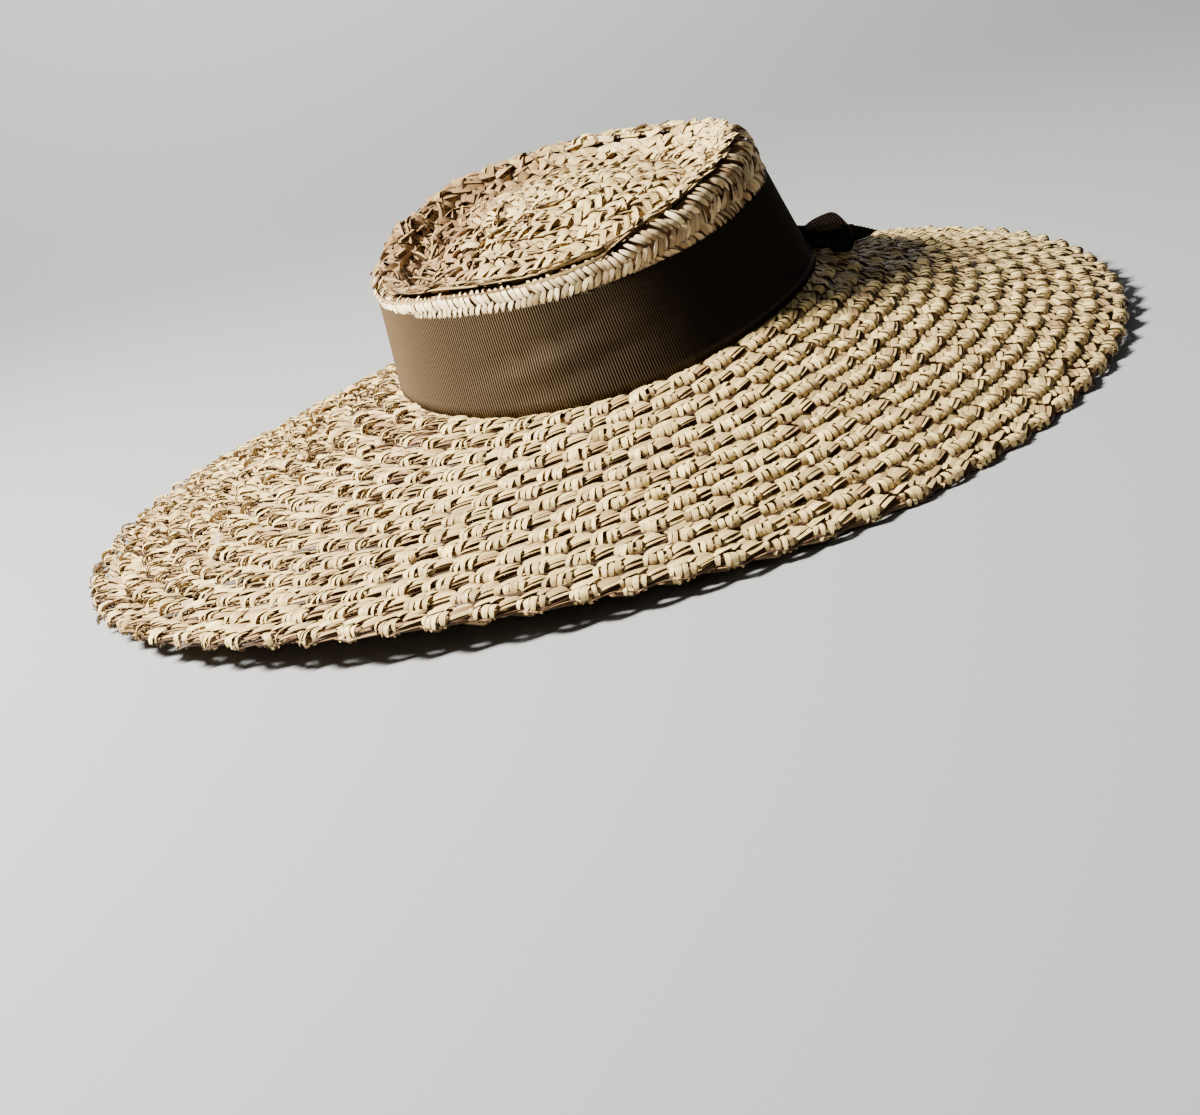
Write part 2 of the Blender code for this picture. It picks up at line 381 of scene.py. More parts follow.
def noiseNode(tree, place, scale, detail, roughness=0.5):
    node = addNode(tree, "ShaderNodeTexNoise", Roughness=roughness)
    tree.links.new(place, node.inputs["Vector"])
    plug(tree, node.inputs["Scale"], scale)
    plug(tree, node.inputs["Detail"], detail)
    return node.outputs[0]


def readVectors(tree, name):
    # a piece's own vectors, whole and as three numbers
    vectors = addNode(tree, "ShaderNodeAttribute", attribute_name=name).outputs["Vector"]
    parts = addNode(tree, "ShaderNodeSeparateXYZ")
    tree.links.new(vectors, parts.inputs[0])
    return vectors, parts.outputs


def joinParts(tree, *values):
    node = addNode(tree, "ShaderNodeCombineXYZ")
    for socket, value in zip(node.inputs, values):
        plug(tree, socket, value)
    return node.outputs[0]


def addBump(tree, shader, height, strength, distance):
    bump = addNode(tree, "ShaderNodeBump", Strength=strength, Distance=distance)
    tree.links.new(height, bump.inputs["Height"])
    tree.links.new(bump.outputs[0], shader.inputs["Normal"])


def newGroup(name, inputs, outputs):
    group = bpy.data.node_groups.new(name, "ShaderNodeTree")
    for label, value in inputs:
        group.interface.new_socket(label, in_out="INPUT", socket_type="NodeSocketFloat").default_value = value
    for label in outputs:
        group.interface.new_socket(label, in_out="OUTPUT", socket_type="NodeSocketFloat")
    return group, group.nodes.new("NodeGroupInput").outputs, group.nodes.new("NodeGroupOutput").inputs


def useGroup(tree, group, **values):
    node = tree.nodes.new("ShaderNodeGroup")
    node.node_tree = group
    for key, value in values.items():
        node.inputs[key.replace("_", " ")].default_value = value
    return node.outputs


def buildStrawGrain():
    # fine lines and flecks along each straw
    group, given, made = newGroup(
        "strawGrain", (("Lines across", 7.0), ("Line length", 0.12), ("Flecks", 0.5)), ("Height", "Streaks"))
    grain, parts = readVectors(group, "grain")
    across = mathNode(group, "MULTIPLY", parts[0], given["Lines across"])
    along = mathNode(group, "MULTIPLY", parts[1], given["Line length"])
    lines = noiseNode(group, joinParts(group, across, along, parts[2]), 1.0, 2.0)
    spots = noiseNode(group, grain, 2.3, 3.0)
    flecks = mathNode(group, "MULTIPLY", mathNode(group, "SUBTRACT", spots, 0.5), given["Flecks"])
    flecked = mathNode(group, "ADD", lines, flecks, clamp=True)
    group.links.new(lines, made["Height"])
    group.links.new(rangeNode(group, flecked, 0.44, 0.6), made["Streaks"])
    return group


def buildStrawEdgeDirtAndShade():
    # painted dirt and shade along a straw's edges, and painted shade at its ends, where it dips under its
    # neighbours
    group, given, made = newGroup(
        "strawEdgeDirtAndShade", (("Edge from", 0.7), ("Edge to", 0.94), ("Darkness", 0.9)), ("Mask",))
    across = mathNode(group, "ABSOLUTE", readVectors(group, "grain")[1][0])
    edge = rangeNode(group, across, given["Edge from"], given["Edge to"], 0.0, given["Darkness"])
    end = rangeNode(group, readVectors(group, "look")[1][1], 0.0, 0.5, given["Darkness"], 0.0)
    group.links.new(mathNode(group, "MAXIMUM", edge, end), made["Mask"])
    return group


def buildAgeStain():
    # patches where rust and dust have settled over the whole hat, and single rusty straws
    group, given, made = newGroup(
        "ageStain", (("Patch size", 26.0), ("Amount", 0.5), ("Rusty straws", 0.35)), ("Mask",))
    place = addNode(group, "ShaderNodeTexCoord").outputs["Object"]
    patches = rangeNode(group, noiseNode(group, place, given["Patch size"], 5.0, 0.62), 0.56, 0.74)
    patches = mathNode(group, "MULTIPLY", patches, given["Amount"])
    straws = rangeNode(group, readVectors(group, "look")[1][2], 0.86, 1.0, 0.0, given["Rusty straws"])
    group.links.new(mathNode(group, "MAXIMUM", patches, straws), made["Mask"])
    return group


def buildMottle():
    group, given, made = newGroup("mottle", (("Fineness", 900.0), ("Detail", 3.0)), ("Mottle",))
    place = addNode(group, "ShaderNodeTexCoord").outputs["Object"]
    group.links.new(noiseNode(group, place, given["Fineness"], given["Detail"]), made["Mottle"])
    return group


def buildRibWeave():
    # ribs counted along the ribbon, worn on their ridges, and a painted light share: lit parts keep the cloth's
    # colour, the rest turns to painted shade
    group, given, made = newGroup(
        "ribWeave", (("Rib from", 0.2), ("Rib to", 0.85), ("Wear", 0.5)), ("Rib", "Worn", "PaintedLight", "Fine"))
    parts = readVectors(group, "weave")[1]
    ridge = mathNode(group, "COSINE", mathNode(group, "MULTIPLY", parts[0], 2 * math.pi))
    ridge = mathNode(group, "ADD", mathNode(group, "MULTIPLY", ridge, 0.5), 0.5)
    rib = rangeNode(group, ridge, given["Rib from"], given["Rib to"])
    fine = noiseNode(group, joinParts(group, parts[0], parts[1]), 1.0, 3.0)
    worn = mathNode(group, "MULTIPLY", mathNode(group, "MULTIPLY", fine, given["Wear"]), rib)
    for label, value in (("Rib", rib), ("Worn", worn), ("PaintedLight", parts[2]), ("Fine", fine)):
        group.links.new(value, made[label])
    return group


strawGrain = buildStrawGrain()
strawEdgeDirtAndShade = buildStrawEdgeDirtAndShade()
ageStain = buildAgeStain()
mottle = buildMottle()
ribWeave = buildRibWeave()


def makeStraw(name, finish):
    material = bpy.data.materials.new(name)
    tree, shader = nodeTree(material)
    grain = useGroup(tree, strawGrain, Lines_across=finish["lines"], Flecks=finish["flecks"])
    edges = useGroup(tree, strawEdgeDirtAndShade, Edge_from=finish["edgeReach"][0], Edge_to=finish["edgeReach"][1],
                     Darkness=finish["edgeDark"])
    stain = useGroup(tree, ageStain, Patch_size=finish["patchSize"], Amount=finish["stain"],
                     Rusty_straws=finish["rustyStraws"])
    tone = readVectors(tree, "look")[1][0]
    streak = mathNode(tree, "MULTIPLY", grain["Streaks"], finish["streak"])
    mixed = mixColours(tree, tone, finish["dull"], finish["pale"])
    mixed = mixColours(tree, streak, mixed, finish["dull"])
    mixed = mixColours(tree, stain["Mask"], mixed, finish["rust"])
    # painted dirt and shade at straw edges, painted shade at their ends and over the shadow straws
    mixed = mixColours(tree, edges["Mask"], mixed, finish["gapShade"])
    tree.links.new(mixed, shader.inputs["Base Color"])
    rough = rangeNode(tree, grain["Streaks"], 0.0, 1.0, *finish["roughness"], kind="LINEAR")
    tree.links.new(rough, shader.inputs["Roughness"])
    shader.inputs["IOR"].default_value = finish["ior"]
    addBump(tree, shader, grain["Height"], *finish["bump"])
    return material


strawFinish = {
    "pale": (0.96, 0.74, 0.3),
    "dull": (0.30, 0.182, 0.085),
    # colour of the painted shade in gaps and along straw edges
    "gapShade": (0.026, 0.011, 0.007),
    "rust": (0.25, 0.12, 0.055),
    "lines": 4.5,
    "flecks": 0.7,
    "patchSize": 26.0,
    "stain": 0.45,
    "rustyStraws": 0.35,
    "streak": 0.62,  # how dark the fine lines are
    "edgeReach": (0.7, 0.94),  # from the middle of a straw to its edge
    "edgeDark": 0.9,
    "roughness": (0.36, 0.6),
    "ior": 1.3,
    "bump": (0.4, 0.0004),
}
brimStraw = makeStraw("brimStraw", strawFinish)
tipStraw = makeStraw("tipStraw", {**strawFinish, "stain": 0.4, "rust": (0.24, 0.14, 0.065), "lines": 5.0})
sideStraw = makeStraw("sideStraw", {**strawFinish, "pale": (0.96, 0.8, 0.47), "stain": 0.15, "streak": 0.3})
print("materials ready")

# brim
brimPlait = {
    "rows": 13,
    "reach": 9.2,  # from a row's inner line to the next row's
    "pitch": 16.5,  # length of a cell
    "step": 2.1,  # rise of a row over its reach
    "ground": -0.8,  # height of the straws over the skin
    "thick": 0.42,
    "wide": 1.0,
    "tone": 0.44,  # 0 is dull, 1 pale
    # how much further the last row reaches away from the front, from what angle, over how much
    "overRim": (0.0, 0.9, 0.5),
    "lineUp": 0.7,  # angle where the cells of all rows line up
    "drift": 0.14,  # how far each row's cells are out of line with the last
    "jitter": 0.28,
    "cellJitter": 0.45,
    "rollJitter": 0.15,
    "widthJitter": 0.14,
    "heightJitter": 0.12,
    "bowJitter": 0.25,
    "toneJitter": 0.2,
    "wander": ((3, 0.25, 0.1), (7, 0.12, 0.15)),  # slow waves of the rows
    "lowest": 0.75,  # over the floor
    "face": 1,  # 1 lies on top, -1 underneath
    # teeth of the outer edge: how far they stand out, their wave, the middle of a cell, where a
    # straw starts to reach out, and how much shorter the folded straws are
    "teeth": (0.25, 1.55, 6.0, 4.0, 1.7),
    # angle, spread, how much more the straws stray there
    "messy": ((-80, 46, 1.8),),
    "messyStraws": (0.13, 0.15, 0.8),
    # painted shade and rust on the left side: angle, spread, share of the way out, spread, darker, rustier
    "shadeAndRust": ((-85, 52, 0.5, 2.0, 0.2, 0.08),),
    # one cell: along and out at the start, along and out at the end, half width, arch,
    # start height, end height, roll in degrees, bow, tone (-9 gives a straw the painted shade colour all over,
    # a painted shadow under the straw above)
    "straws": (
        (-1.0, -1.2, 9.3, -1.7, 1.4, 0.1, 0.3, 0.3, 0, 0.0, 0.1),
        (7.8, -1.0, 17.3, -1.5, 1.4, 0.1, 0.4, 0.2, 0, 0.0, 0.1),
        (-1.0, -3.4, 9.3, -3.9, 1.3, 0.1, 0.1, 0.1, 0, 0.0, 0.0),
        (7.8, -3.2, 17.3, -3.8, 1.3, 0.1, 0.2, 0.0, 0, 0.0, 0.0),
        (0.4, 2.4, 9.0, -1.4, 1.4, 0.4, 0.5, 0.5, 0, 0.2, 0.1),
        (8.4, 3.6, 15.6, -0.8, 1.4, 0.4, 0.5, 0.5, 0, 0.2, 0.1),
        (0.0, 4.6, 8.8, 0.9, 1.4, 0.5, 0.7, 0.7, 4, 0.2, 0.2),
        # painted shadow straws under the tails' outer edges
        (0.0, 9.6, 9.4, 10.5, 0.75, 0.2, -1.2, -1.1, 0, 0.0, -9),
        (8.4, 10.3, 18.2, 5.8, 0.85, 0.2, -1.2, -0.3, 0, 0.5, -9),
        (1.0, 4.7, 0.7, 9.0, 1.14, 0.35, 0.8, -1.1, -6, 0.0, 0.25),
        (3.4, 4.4, 3.1, 9.7, 1.26, 0.35, 1.0, -1.3, -5, 0.0, 0.4),
        (5.9, 4.4, 5.7, 9.9, 1.28, 0.35, 1.25, -1.3, -3, 0.0, 0.4),
        (8.3, 4.7, 8.2, 9.7, 1.14, 0.35, 1.25, -1.1, 2, 0.0, 0.3),
        (8.9, 9.0, 17.8, 4.9, 1.2, 0.5, -0.4, -0.1, 10, 0.5, 0.0),
        (9.2, 7.1, 17.2, 3.0, 1.3, 0.6, 0.3, 0.1, 6, 0.5, 0.1),
        (9.4, 5.1, 15.6, 1.6, 1.2, 0.5, 0.5, 0.4, 0, 0.3, 0.1),
        (6.6, 4.6, 9.9, 1.4, 0.9, 0.3, 1.2, 0.9, 0, 0.0, 0.4),
    ),
}

turnAngles = np.linspace(0, 2 * math.pi, 721)


def countCells(skin, share, pitch):
    ring = skin(turnAngles, np.full(len(turnAngles), share))
    return round(np.linalg.norm(np.diff(ring, axis=0), axis=1).sum() / pitch)


def toothedCell(plait):
    # the last row's cells reach further out in the middle, which gives the edge its teeth
    out, swell, middle, start, shorter = plait["teeth"]
    cell = []
    for straw in plait["straws"]:
        straw = list(straw)
        for s, w in ((0, 1), (2, 3)):
            if straw[w] > start:
                turn = (straw[s] - middle) / plait["pitch"] * 2 * math.pi
                straw[w] += (out + swell * math.cos(turn)) * (straw[w] - start) / 6.0
        if abs(straw[2] - straw[0]) < 1:
            straw[1] += shorter
        cell.append(tuple(straw))
    return cell


brimCells = [countCells(brimSkin, (row + 0.7) / brimPlait["rows"], brimPlait["pitch"])
             for row in range(brimPlait["rows"])]
brimRows = []
for row, cells in enumerate(brimCells):
    phase = brimPlait["lineUp"] + (brimPlait["drift"] * row + chance.normal(0, 0.05)) * 2 * math.pi / cells
    plait = brimPlait
    if row == brimPlait["rows"] - 1:
        plait = {**brimPlait, "straws": toothedCell(brimPlait)}
    brimRows.append(plaitRow(brimSkin, row, cells, phase, plait))
# the outer edge: small folds under the last row's ends, and dark straws turned under
edgeTurns = {
    **brimPlait,
    "shadeAndRust": brimPlait["shadeAndRust"] + ((0, 400, 1.0, 2.0, 0.0, 0.25),),
    "straws": (
        (-1.5, 8.4, 6.8, 11.4, 1.1, 0.3, -2.0, -1.8, 24, 0.0, -0.6),
        (6.0, 11.6, 16.4, 8.2, 1.1, 0.3, -1.9, -1.9, 24, 0.0, -0.6),
        (-1.0, 8.0, 9.0, 8.6, 1.6, 0.2, -2.0, -2.0, 0, 0.0, -0.5),
        (7.5, 8.4, 16.8, 8.0, 1.6, 0.2, -2.0, -2.0, 0, 0.0, -0.5),
        (2.6, 9.4, 2.2, 10.6, 0.9, 0.3, -1.4, -2.5, 0, 0.0, 0.2),
        (4.7, 9.6, 4.4, 11.2, 1.0, 0.3, -1.4, -2.7, 0, 0.0, 0.3),
        (6.9, 9.6, 6.7, 11.2, 1.0, 0.3, -1.4, -2.7, 0, 0.0, 0.3),
        (9.0, 9.4, 8.8, 10.6, 0.9, 0.3, -1.4, -2.5, 0, 0.0, 0.2),
    ),
}
brimRows.append(plaitRow(brimSkin, brimPlait["rows"] - 1, cells, phase, edgeTurns))
for name, first, last in (("brim_plait_inner", 0, 5), ("brim_plait_middle", 5, 8),
                          ("brim_plait_outer", 8, 11), ("brim_plait_edge", 11, 14)):
    layStraws(name, sum(brimRows[first:last], []), brimStraw, "brim")

# the underside: flat straws in rows, three to a cell
underPlait = {
    **brimPlait,
    "face": -1,
    "lowest": 1.4,
    "step": 0.0,
    "ground": 2.3,
    "thick": 0.35,
    "tone": 0.3,
    "drift": 0.31,
    "messy": (),
    "straws": (
        (0.0, 0.6, 10.5, 3.0, 1.8, 0.2, 0.2, 0.0, 0, 0.4, 0.0),
        (7.5, 2.6, 17.5, 6.0, 1.8, 0.2, 0.2, 0.0, 0, 0.4, 0.1),
        (1.0, 5.4, 10.5, 8.4, 1.8, 0.2, 0.1, 0.1, 0, 0.4, 0.0),
    ),
}
underRows = []
for row, cells in enumerate(brimCells):
    underRows += plaitRow(brimSkin, row, cells, underPlait["drift"] * row, underPlait)
layStraws("brim_underside", underRows, brimStraw, "brim")
print("brim plait laid")


def ringQuads(rings, count, closed=True):
    ids = np.arange(rings * count).reshape(rings, count)
    if closed:
        ids = np.concatenate([ids, ids[:1]])
    after = np.roll(ids, -1, axis=1)
    return np.stack([ids[:-1], after[:-1], after[1:], ids[1:]], -1).reshape(-1, 4)


def layRings(name, rings, material, slot):
    piece = makePiece(name, np.concatenate(rings), ringQuads(len(rings), len(rings[0])), material)
    settle(piece, slot, slot)
    return piece


def makeGround(name, colour):
    material = bpy.data.materials.new(name)
    tree, shader = nodeTree(material)
    mottled = useGroup(tree, mottle)["Mottle"]
    mixed = mixColours(tree, mottled, colour, tuple(c * 2.2 for c in colour))
    tree.links.new(mixed, shader.inputs["Base Color"])
    shader.inputs["Roughness"].default_value = 0.8
    shader.inputs["Specular IOR Level"].default_value = 0.2
    addBump(tree, shader, mottled, 0.6, 0.0006)
    return material


# linings, closed shells that stand in for the solids under the straws, dark brown as painted shade seen through
# the gaps
shadedLining = makeGround("shadedLining", (0.16, 0.09, 0.045))
lap = {"columns": 300, "sink": 1.3, "under": 2.2, "edgeInset": 0.034}
ringAngles = np.arange(lap["columns"]) * 2 * math.pi / lap["columns"]


def brimRing(share, lift):
    ring = brimSkin(ringAngles, np.full(lap["columns"], share))
    ring[:, 2] += lift
    return ring


rings = []
for row in range(brimPlait["rows"]):
    for turn, lift in ((row, 0.0), (row + 1, brimPlait["step"] * 0.3)):
        share = turn / brimPlait["rows"] - (lap["edgeInset"] if turn == brimPlait["rows"] else 0)
        rings.append(brimRing(share, lift - lap["sink"]))
for share in (0.966, 0.95, 0.5, 0.0):
    rings.append(brimRing(share, -lap["under"]))
layRings("brim_lining", rings, shadedLining, "brim")
print("brim ready")

# crown tip
tipPlait = {
    **brimPlait,
    "rows": 7,
    "pitch": 12.0,
    "step": 1.5,
    "ground": -0.5,
    "thick": 0.45,
    "wide": 1.1,
    "tone": 0.58,
    "jitter": 0.52,
    "cellJitter": 0.9,
    "rollJitter": 0.27,
    "overRim": (0.55, 0.9, 0.5),
    "messy": ((-90, 40, 1.0),),
    # painted shade with rust in the moat under the left rim, darker and rustier places round the back, rust
    # towards the front
    "shadeAndRust": (
        (-90, 52, 0.9, 0.4, 1.0, 0.15),
        (-150, 32, 0.8, 0.25, 0.35, 0.2),
        (150, 40, 0.7, 0.25, 0.15, 0.2),
        (10, 25, 0.25, 0.2, 0.0, 0.25),
    ),
    "straws": (
        (-1.0, 0.6, 7.2, 0.2, 2.1, 0.1, 0.5, 0.5, 0, 0.0, -0.15),
        (6.0, 0.2, 13.4, 0.5, 2.1, 0.1, 0.5, 0.5, 0, 0.0, -0.15),
        (-1.0, 4.4, 7.2, 4.2, 2.1, 0.1, 0.2, 0.2, 0, 0.0, -0.2),
        (6.0, 4.2, 13.4, 4.5, 2.1, 0.1, 0.2, 0.2, 0, 0.0, -0.2),
        (-1.0, 8.2, 7.2, 8.0, 2.1, 0.1, -0.1, -0.1, 0, 0.0, -0.2),
        (6.0, 8.0, 13.4, 8.3, 2.1, 0.1, -0.1, -0.1, 0, 0.0, -0.2),
        (0.0, 0.4, 5.6, 5.6, 1.5, 0.8, 0.7, 0.2, 0, 0.3, 0.0),
        (6.0, 0.4, 11.6, 5.6, 1.5, 0.8, 0.7, 0.2, 0, 0.3, 0.05),
        (5.4, 3.6, 0.4, 9.2, 1.5, 0.9, 0.6, -0.3, 0, -0.3, 0.1),
        (11.4, 3.6, 6.4, 9.2, 1.5, 0.9, 0.6, -0.3, 0, -0.3, 0.15),
        (2.6, 8.4, 9.4, 8.8, 1.1, 0.5, 0.1, 0.1, 0, 0.0, 0.05),
    ),
}
tipRim = {
    **tipPlait,
    "pitch": 14.5,
    "overRim": (0.0, 0.9, 0.5),
    "shadeAndRust": tipPlait["shadeAndRust"] + ((180, 110, 1.06, 0.04, 0.15, 0.2),),
    "straws": (
        (-1.0, 9.5, 8.0, 9.8, 2.2, 0.1, 0.4, 0.4, 0, 0.0, -0.1),
        (6.0, 9.7, 15.2, 9.5, 2.2, 0.1, 0.4, 0.4, 0, 0.0, -0.1),
        (-1.0, 8.2, 8.0, 8.4, 1.9, 0.1, 1.2, 1.2, 0, 0.0, 0.1),
        (6.0, 8.4, 15.2, 8.2, 1.9, 0.1, 1.2, 1.2, 0, 0.0, 0.1),
        (-1.0, 6.8, 8.0, 7.0, 1.7, 0.1, 0.9, 0.9, 0, 0.0, 0.0),
        (6.0, 7.0, 15.2, 6.8, 1.7, 0.1, 0.9, 0.9, 0, 0.0, 0.0),
        (-1.0, 11.8, 8.0, 12.1, 1.8, 0.1, 0.3, 0.3, 0, 0.0, 0.0),
        (6.0, 12.1, 15.2, 11.8, 1.8, 0.1, 0.3, 0.3, 0, 0.0, 0.0),
        (10.5, 12.2, 16.0, 9.8, 1.5, 0.8, 0.2, 0.3, 0, 0.0, 0.1),
        (-1.0, 5.5, 8.0, 5.2, 2.2, 0.1, 0.4, 0.4, 0, 0.0, -0.15),
        (6.0, 5.3, 15.2, 5.6, 2.2, 0.1, 0.4, 0.4, 0, 0.0, -0.15),
        (-1.0, 1.5, 8.0, 1.3, 2.2, 0.1, 0.6, 0.6, 0, 0.0, -0.2),
        (6.0, 1.4, 15.2, 1.6, 2.2, 0.1, 0.6, 0.6, 0, 0.0, -0.2),
        (0.0, 0.5, 6.0, 3.8, 1.6, 0.9, 0.9, 0.4, 0, 0.3, 0.0),
        (12.0, 0.8, 6.0, 3.6, 1.6, 0.9, 0.9, 0.4, 0, -0.3, 0.1),
        (11.0, 0.6, 16.5, 3.6, 1.6, 0.9, 0.8, 0.4, 0, 0.3, 0.0),
        (5.0, 3.6, -0.5, 6.8, 1.6, 1.0, 0.5, 0.2, 0, -0.3, 0.1),
        (4.0, 3.4, 9.5, 7.0, 1.6, 1.0, 0.5, 0.2, 0, 0.3, 0.0),
        (14.5, 3.8, 9.0, 7.0, 1.6, 1.0, 0.5, 0.2, 0, -0.3, 0.1),
        (-1.0, 7.6, 5.0, 10.6, 1.6, 1.0, 0.3, 0.0, 0, 0.3, 0.1),
        (10.5, 7.4, 4.5, 10.4, 1.6, 1.0, 0.4, 0.1, 0, -0.3, 0.0),
        (9.5, 7.2, 15.0, 10.8, 1.6, 1.0, 0.3, 0.0, 0, 0.3, 0.1),
        (-2.6, 8.2, 2.4, 12.0, 1.9, 0.7, 0.8, 0.9, 0, 0.0, 0.0),
        (4.4, 12.0, 9.6, 8.0, 1.9, 0.7, 0.9, 0.9, 0, 0.0, 0.05),
        (-2.6, 10.8, 3.0, 9.6, 1.9, 0.6, 0.7, 0.7, 0, 0.0, 0.05),
        (4.2, 9.6, 10.0, 10.8, 1.9, 0.6, 0.7, 0.7, 0, 0.0, 0.0),
        (1.2, 8.8, 6.6, 12.9, 1.5, 0.9, 0.5, 1.4, 0, 0.3, 0.1),
        (12.2, 9.0, 7.2, 13.0, 1.5, 0.9, 0.6, 1.8, 0, -0.3, 0.15),
    ),
}
tipRows = []
for row in range(tipPlait["rows"]):
    plait = tipRim if row == tipPlait["rows"] - 1 else tipPlait
    cells = max(4, countCells(tipSkin, (row + 0.75) / tipPlait["rows"], plait["pitch"]))
    tipRows.append(plaitRow(tipSkin, row, cells, chance.uniform(0, 1), plait))
layStraws("tip_plait", sum(tipRows, []), tipStraw, "crown_tip")

# single straws over the tip: loose ends at the left, flats and reddish-brown strands along the front rim
strayStraws = {
    "tipRadius": 82.0,
    "thick": 0.35,
    "arch": 0.5,
    "rollJitter": 0.3,
    # for the loose ones, from and to
    "lengths": (0.6, 1.4),
    "widths": (0.7, 1.5),
    "heights": (0.9, 2.8),
    # the loose straws are darker than the plait, part of the painted shade in the left moat
    "tones": (0.0, 0.5),
    # how many, angle from and to, share of the way out from and to, length, half width
    "loose": ((110, -130, -50, 0.74, 1.06, 12.0, 0.55), (20, 20, 100, 0.85, 1.03, 8.0, 0.5),
              (16, -170, 170, 0.2, 0.6, 8.0, 0.6)),
    # angle and share at both ends, half width, height, tone, stain
    "laid": (
        (-80, 1.045, -55, 1.07, 1.2, 1.0, 0.5, 0.2),
        (-62, 1.04, -38, 1.075, 1.2, 1.1, 0.8, 0.1),
        (-46, 1.045, -18, 1.075, 1.2, 1.2, 0.5, 0.3),
        (-28, 1.04, 0, 1.075, 1.2, 1.1, 0.8, 0.1),
        (-7, 1.04, 18, 1.07, 1.1, 1.0, 0.6, 0.2),
        (12, 1.035, 36, 1.06, 1.0, 1.0, 0.6, 0.3),
        (30, 1.03, 54, 1.05, 1.0, 1.0, 0.6, 0.2),
        (-76, 1.075, -50, 1.09, 0.8, 1.7, 0.3, 1.0),
        (-53, 1.088, -28, 1.094, 0.8, 1.7, 0.4, 1.0),
        (-31, 1.093, -6, 1.09, 0.8, 1.7, 0.3, 1.0),
        (-9, 1.09, 16, 1.08, 0.75, 1.7, 0.4, 1.0),
        (13, 1.08, 38, 1.06, 0.7, 1.6, 0.2, 0.9),
        (36, 1.06, 60, 1.045, 0.6, 1.4, 0.1, 0.9),
        (-18, 1.015, -7, 1.05, 1.9, 2.3, 0.25, 0.0),
        (0, 1.015, 11, 1.05, 1.9, 2.3, 0.3, 0.0),
    ),
}


def singleStraws():
    rows = []
    stray, radius = strayStraws, strayStraws["tipRadius"]
    for count, turn, turnEnd, out, outEnd, length, width in stray["loose"]:
        for _ in range(count):
            angle, share = math.radians(chance.uniform(turn, turnEnd)), chance.uniform(out, outEnd)
            heading, run = chance.uniform(0, math.pi), length * chance.uniform(*stray["lengths"])
            angleEnd = angle + run * math.cos(heading) / (radius * share)
            shareEnd = share + run * math.sin(heading) / radius * chance.choice((-1, 1))
            rows.append((angle, share, angleEnd, shareEnd, width * chance.uniform(*stray["widths"]),
                         chance.uniform(*stray["heights"]), chance.uniform(*stray["tones"]),
                         chance.uniform(0, 1)))
    for turn, out, turnEnd, outEnd, width, height, tone, stain in stray["laid"]:
        rows.append((math.radians(turn), out, math.radians(turnEnd), outEnd, width, height, tone, stain))
    table = np.array(rows)
    time = pathTimes[None]
    angle = table[:, 0, None] + (table[:, 2] - table[:, 0])[:, None] * time
    share = np.clip(table[:, 1, None] + (table[:, 3] - table[:, 1])[:, None] * time, 0.05, 1.12)
    here, normal = skinFrame(tipSkin, angle, share)
    lift = table[:, 5, None] + stray["arch"] * np.sin(np.pi * time)
    return {
        "path": here + normal * lift[..., None],
        "up": normal,
        "width": table[:, 4, None] * pathWidths,
        "thick": np.full(angle.shape, stray["thick"]),
        "tone": table[:, 6],
        "stain": table[:, 7],
        "roll": chance.normal(0, stray["rollJitter"], len(table)),
    }


layStraws("tip_straw_ends", [singleStraws()], tipStraw, "crown_tip")

rings = []
for row in range(tipPlait["rows"] + 1):
    share = min(max(row / tipPlait["rows"], 0.01), 1.0)
    for lift in ((tipPlait["step"], 0.0) if 0 < row < tipPlait["rows"] else (0.0,)):
        ring = tipSkin(ringAngles, np.full(lap["columns"], share))
        ring[:, 2] += lift - lap["sink"]
        rings.append(ring)
for share in (1.0, 0.78, 0.5, 0.18, 0.01):
    ring = tipSkin(ringAngles, np.full(lap["columns"], share))
    ring[:, 2] -= lap["under"]
    rings.append(ring)
layRings("tip_lining", rings, makeGround("tipShadedLining", (0.2, 0.12, 0.06)), "crown_tip")
print("crown tip ready")

# crown side: fine plait laid in chevrons, from the rim down to under the ribbon
sideBraid = {
    "round": 532.0,
    "pitch": 2.75,
    "halfDepth": 4.1,
    "rows": 3,
    "firstRow": 5.0,  # middle of the first row under the rim
    "lean": 3.5,
    "width": 1.12,
    "thick": 0.45,
    "lift": 0.1,
    "arch": 0.9,
    "tone": 0.84,
    "underRibbon": 0.8,
    # how much the straws stray low on the wall, and how much more where it stands higher
    "middleJitter": (0.25, 0.0),
    "startJitter": (0.25, 0.6),
    "endJitter": (0.35, 0.8),
    "leanJitter": (0.3, 1.8),
    "toneJitter": (0.18, 0.16),
    "rollJitter": (0.16, 0.35),
    # where the wall stands higher the straws are larger too: height over the ribbon where that
    # starts, height over which they grow, how much larger
    "tall": (8.0, 10.0, 0.3),
    # painted shade on the side away from the light: angle, spread, how much darker
    "shadeAndRust": ((70, 50, 0.5),),
}


